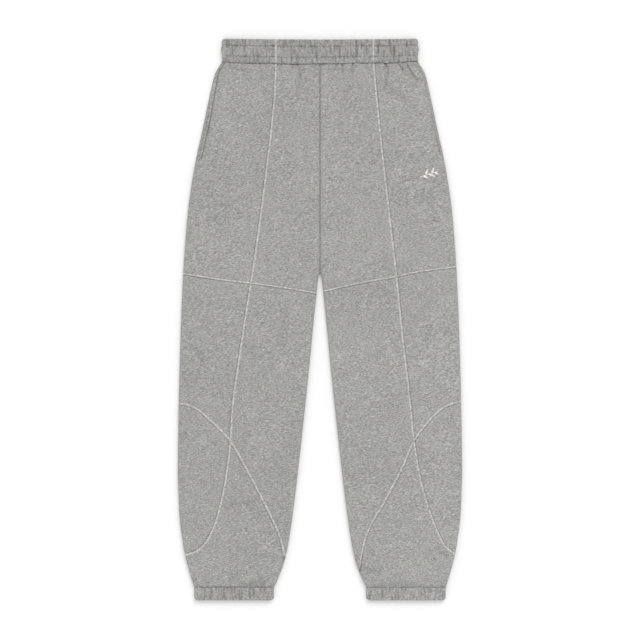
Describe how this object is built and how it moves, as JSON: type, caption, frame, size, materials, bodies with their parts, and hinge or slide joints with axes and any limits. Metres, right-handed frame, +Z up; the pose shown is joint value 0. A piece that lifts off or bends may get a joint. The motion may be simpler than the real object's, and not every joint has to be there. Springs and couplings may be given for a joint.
{
  "type": "jogger sweatpants",
  "caption": "Heather grey fleece jogger sweatpants laid flat, with an elastic waistband, panelled legs with raised pale seams, side pockets and elastic cuffs.",
  "frame": {"origin": "middle of the garment on the surface that it lies on", "axes": "+X towards the wearer's left, +Y towards the waist, +Z up from the surface, front up"},
  "size_m": [0.5164, 1.0199, 0.012],
  "materials": {
    "fleece": "heather grey brushed fleece jersey",
    "band_cloth": "heather grey jersey gathered over elastic",
    "facing_cloth": "heather grey jersey, a little darker",
    "seam_thread": "pale grey raised flat stitching"
  },
  "bodies": {
    "root": {"waistband": "band_cloth", "right_front_hip_side": "fleece", "right_front_hip_inner": "fleece", "right_front_thigh_side": "fleece", "right_front_thigh_inner": "fleece", "right_front_calf_side": "fleece", "right_front_shin": "fleece", "right_back_leg": "fleece", "right_pocket_facing": "facing_cloth", "right_cuff": "band_cloth", "right_seam_long": "seam_thread", "right_seam_hip_outer": "seam_thread", "right_seam_hip_inner": "seam_thread", "right_seam_knee_outer": "seam_thread", "right_seam_knee_inner": "seam_thread", "right_seam_waistband": "seam_thread", "left_front_hip_side": "fleece", "left_front_hip_inner": "fleece", "left_front_thigh_side": "fleece", "left_front_thigh_inner": "fleece", "left_front_calf_side": "fleece", "left_front_shin": "fleece", "left_back_leg": "fleece", "left_pocket_facing": "facing_cloth", "left_cuff": "band_cloth", "left_seam_long": "seam_thread", "left_seam_hip_outer": "seam_thread", "left_seam_hip_inner": "seam_thread", "left_seam_knee_outer": "seam_thread", "left_seam_knee_inner": "seam_thread", "left_seam_waistband": "seam_thread"}
  },
  "joints": []
}
